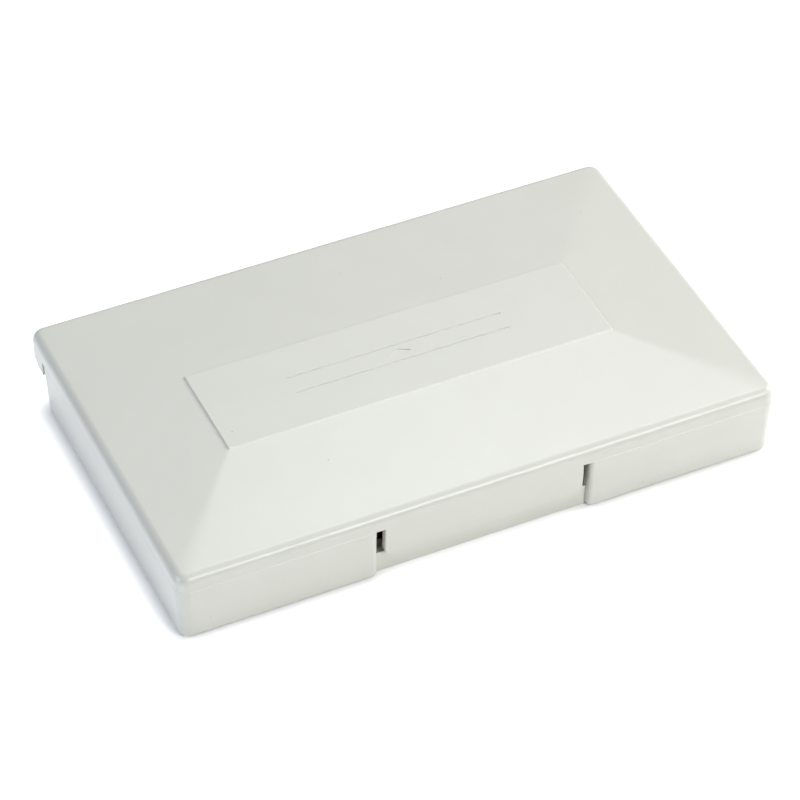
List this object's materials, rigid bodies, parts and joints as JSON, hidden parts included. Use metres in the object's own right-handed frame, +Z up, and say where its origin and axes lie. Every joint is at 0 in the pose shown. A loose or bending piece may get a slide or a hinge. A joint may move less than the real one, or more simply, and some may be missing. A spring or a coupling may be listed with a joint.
{
  "type": "pocket watercolor box",
  "caption": "Flat plastic pocket paint box with a hipped lid on a rear hinge, a front latch tongue, a rack of half pans with dried paint and a travel brush inside.",
  "frame": {"origin": "on the table, under the middle of the closed box", "axes": "+X along the box's length to the right, +Y from the latch to the hinge, +Z up through the lid"},
  "size_m": [0.115, 0.0714, 0.0161],
  "materials": {
    "ivory_shell": "semi-gloss moulded plastic",
    "pin_steel": "drawn steel wire",
    "rack_plastic": "satin moulded plastic",
    "pan_plastic": "gloss moulded plastic",
    "lacquered_wood": "lacquered wood",
    "ferrule_metal": "polished nickel-plated metal",
    "brush_hair": "fine brown hair",
    "paint_01": "dried watercolour",
    "paint_02": "dried watercolour",
    "paint_03": "dried watercolour",
    "paint_04": "dried watercolour",
    "paint_05": "dried watercolour",
    "paint_06": "dried watercolour",
    "paint_07": "dried watercolour",
    "paint_08": "dried watercolour",
    "paint_09": "dried watercolour",
    "paint_10": "dried watercolour",
    "paint_11": "dried watercolour",
    "paint_12": "dried watercolour"
  },
  "bodies": {
    "base": {"base_tray": "ivory_shell", "pan_rack": "rack_plastic", "brush_handle": "lacquered_wood", "brush_ferrule": "ferrule_metal", "brush_hair": "brush_hair", "half_pan_01": "pan_plastic", "half_pan_02": "pan_plastic", "half_pan_03": "pan_plastic", "half_pan_04": "pan_plastic", "half_pan_05": "pan_plastic", "half_pan_06": "pan_plastic", "half_pan_07": "pan_plastic", "half_pan_08": "pan_plastic", "half_pan_09": "pan_plastic", "half_pan_10": "pan_plastic", "half_pan_11": "pan_plastic", "half_pan_12": "pan_plastic", "paint_cake_01": "paint_01", "paint_cake_02": "paint_02", "paint_cake_03": "paint_03", "paint_cake_04": "paint_04", "paint_cake_05": "paint_05", "paint_cake_06": "paint_06", "paint_cake_07": "paint_07", "paint_cake_08": "paint_08", "paint_cake_09": "paint_09", "paint_cake_10": "paint_10", "paint_cake_11": "paint_11", "paint_cake_12": "paint_12"},
    "lid": {"lid_cover": "ivory_shell", "hinge_pin_left": "pin_steel", "hinge_pin_right": "pin_steel"},
    "latch": {"latch_tongue": "ivory_shell"}
  },
  "joints": [
    {"name": "lid_hinge", "type": "hinge", "parent": "base", "child": "lid", "pos_m": [0, 0.03325, 0.00808], "axis": [-1, 0, 0], "range_deg": [0, 180]},
    {"name": "latch_flex", "type": "hinge", "parent": "lid", "child": "latch", "pos_m": [0, -0.0357, 0.0115], "axis": [-1, 0, 0], "range_deg": [0, 6], "stiffness_Nm_per_rad": 0.4}
  ]
}
